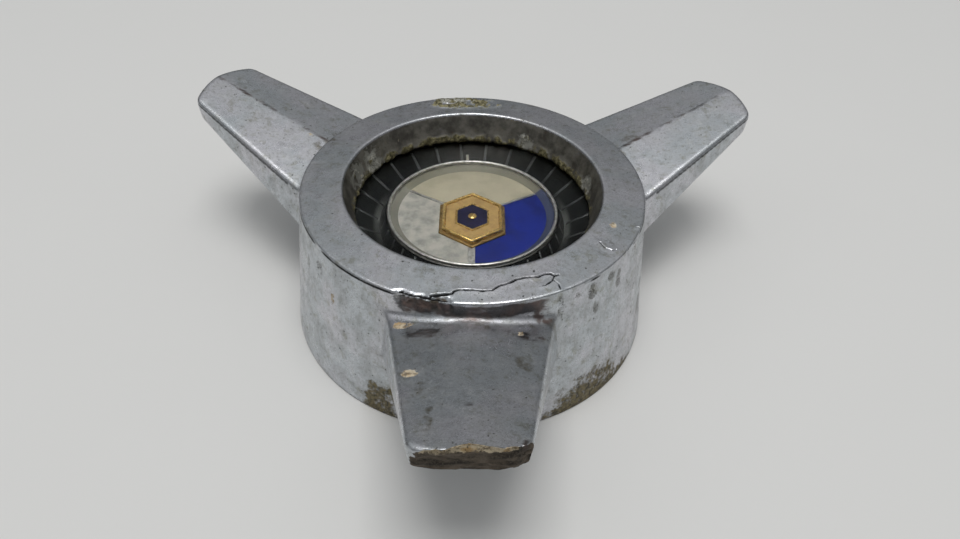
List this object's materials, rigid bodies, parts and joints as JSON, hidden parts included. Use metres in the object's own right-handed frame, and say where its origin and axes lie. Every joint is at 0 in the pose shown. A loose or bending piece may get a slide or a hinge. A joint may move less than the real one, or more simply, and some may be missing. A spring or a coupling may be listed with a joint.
{
  "type": "wheel cover spinner",
  "caption": "Wheel cover spinner: a chromed casting with swept-up ears and a round medallion under a clear lens in a recessed well, closed by a screwed backing plate.",
  "frame": {"origin": "centre of the base plane on the hub axis, where the base rim rests", "axes": "+Z along the hub axis towards the lens; -Y towards the front ear; the other ears point 30 degrees back of +X and -X"},
  "size_m": [0.1508, 0.133, 0.0427],
  "materials": {
    "worn_chrome": "dulled, pitted and lightly corroded chrome plate on a zinc die casting",
    "clear_acrylic": "clear moulded acrylic, lightly dusty",
    "black_gloss": "high gloss black with thin silver rays",
    "silver_trim": "bright silver trim",
    "cream_enamel": "aged cream enamel",
    "white_enamel": "aged grey white enamel",
    "blue_enamel": "deep blue enamel",
    "navy_enamel": "navy enamel",
    "tan_enamel": "tan enamel",
    "gold_plate": "worn gold plate",
    "black_rubber": "soft black rubber",
    "grey_foam": "dark foam",
    "zinc_plated_steel": "dull zinc plated steel with light rust"
  },
  "bodies": {
    "root": {"spinner_casting": "worn_chrome", "lens": "clear_acrylic", "lens_gasket": "black_rubber", "dial_ring": "black_gloss", "medallion_dish": "silver_trim", "bead_ring": "silver_trim", "divider_spider": "silver_trim", "inlay_cream": "cream_enamel", "inlay_white": "white_enamel", "inlay_blue": "blue_enamel", "emblem_base": "gold_plate", "emblem_frame": "gold_plate", "emblem_field": "tan_enamel", "emblem_core": "navy_enamel", "emblem_pip": "gold_plate", "foam_pad": "grey_foam", "backing_plate": "zinc_plated_steel", "retainer_screw_1": "zinc_plated_steel", "lock_washer_1": "zinc_plated_steel", "retainer_screw_2": "zinc_plated_steel", "lock_washer_2": "zinc_plated_steel", "retainer_screw_3": "zinc_plated_steel", "lock_washer_3": "zinc_plated_steel"}
  },
  "joints": []
}
